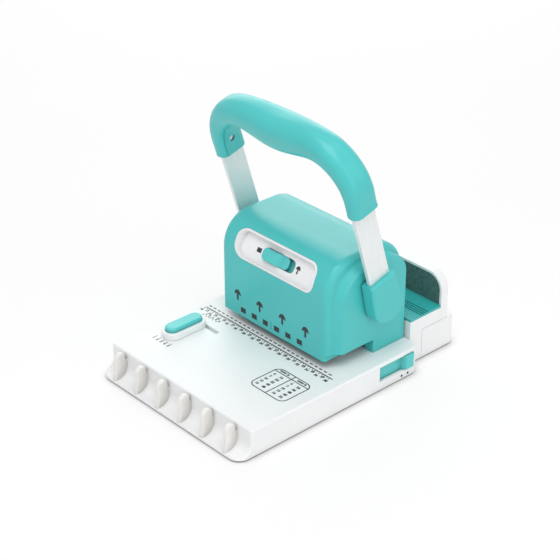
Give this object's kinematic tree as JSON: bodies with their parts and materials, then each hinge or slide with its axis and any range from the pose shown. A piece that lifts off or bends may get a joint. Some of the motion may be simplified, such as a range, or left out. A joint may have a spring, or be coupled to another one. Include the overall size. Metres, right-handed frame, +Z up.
{
  "type": "binding machine",
  "caption": "Desktop hand punch and binding machine with a bowed lever handle, domed head, loading prongs, sliding edge guide, hole switch, rear closer and chip drawer.",
  "frame": {"origin": "middle of the bounding box at desk level, under the rubber feet", "axes": "+X to the user's right, +Y from the loading prongs at the front to the chip drawer at the back, +Z up"},
  "size_m": [0.1615, 0.236, 0.2127],
  "materials": {
    "white_shell": "satin",
    "teal_shell": "satin",
    "panel_white": "satin",
    "arm_paint": "satin powder coat",
    "tool_steel": "ground",
    "spring_wire": "drawn wire",
    "bush_brass": "turned",
    "screw_steel": "plated",
    "pad_dark": "fine texture",
    "foot_rubber": "matt"
  },
  "bodies": {
    "base": {"base_shell": "white_shell", "base_plate": "white_shell", "rubber_feet": "foot_rubber", "base_screws": "screw_steel", "comb_prongs": "white_shell", "die_plate": "tool_steel", "punch_guide": "tool_steel", "disc_punches": "tool_steel", "bar_guide_pins": "tool_steel", "return_springs": "spring_wire", "frame_left": "tool_steel", "frame_right": "tool_steel", "frame_spacer": "tool_steel", "shaft_bushes": "bush_brass", "head_cover": "teal_shell", "switch_panel": "panel_white", "rear_housing": "white_shell", "closer_platform": "teal_shell", "closer_wall": "white_shell", "closer_pad": "pad_dark"},
    "handle": {"handle_shaft": "tool_steel", "press_cams": "tool_steel", "closer_crank": "tool_steel", "arm_left": "arm_paint", "arm_right": "arm_paint", "boot_left": "teal_shell", "boot_right": "teal_shell", "grip_cheek_left": "teal_shell", "grip_cheek_right": "teal_shell", "grip_shell": "teal_shell", "grip_screws": "screw_steel"},
    "carriage": {"punch_bar": "tool_steel", "square_punches": "tool_steel"},
    "selector": {"selector_plate": "tool_steel"},
    "closer": {"closer_bar": "white_shell"},
    "mode": {"mode_slider": "teal_shell"},
    "guide": {"guide_fence": "white_shell"},
    "button": {"guide_button": "teal_shell"},
    "depth": {"depth_slider": "teal_shell", "depth_stop": "tool_steel"},
    "drawer": {"chip_drawer": "white_shell"}
  },
  "joints": [
    {"name": "handle_turn", "type": "hinge", "parent": "base", "child": "handle", "pos_m": [0, 0.0345, 0.07], "axis": [1, 0, 0], "range_deg": [0, 60], "stiffness_Nm_per_rad": 0.6, "springref_deg": -51.57},
    {"name": "carriage_drop", "type": "slide", "parent": "base", "child": "carriage", "axis": [0, 0, -1], "range_m": [0, 0.009], "deforming": ["return_springs"]},
    {"name": "closer_push", "type": "slide", "parent": "base", "child": "closer", "axis": [0, 1, 0], "range_m": [0, 0.016]},
    {"name": "mode_slide", "type": "slide", "parent": "base", "child": "mode", "axis": [1, 0, 0], "range_m": [0, 0.00635]},
    {"name": "selector_slide", "type": "slide", "parent": "carriage", "child": "selector", "axis": [1, 0, 0], "range_m": [0, 0.00635]},
    {"name": "guide_slide", "type": "slide", "parent": "base", "child": "guide", "axis": [1, 0, 0], "range_m": [-0.007, 0.015]},
    {"name": "button_press", "type": "slide", "parent": "guide", "child": "button", "axis": [0, 0, -1], "range_m": [0, 0.0015], "stiffness_N_per_m": 300, "springref_m": -0.002},
    {"name": "depth_slide", "type": "slide", "parent": "base", "child": "depth", "axis": [0, -1, 0], "range_m": [0, 0.0066]},
    {"name": "drawer_slide", "type": "slide", "parent": "base", "child": "drawer", "axis": [0, 1, 0], "range_m": [0, 0.06]}
  ],
  "couplings": [
    {"joint": "carriage_drop", "follows": "handle_turn", "m_per_rad": 0.0085944},
    {"joint": "closer_push", "follows": "handle_turn", "m_per_rad": 0.015279},
    {"joint": "selector_slide", "follows": "mode_slide", "ratio": 1}
  ]
}
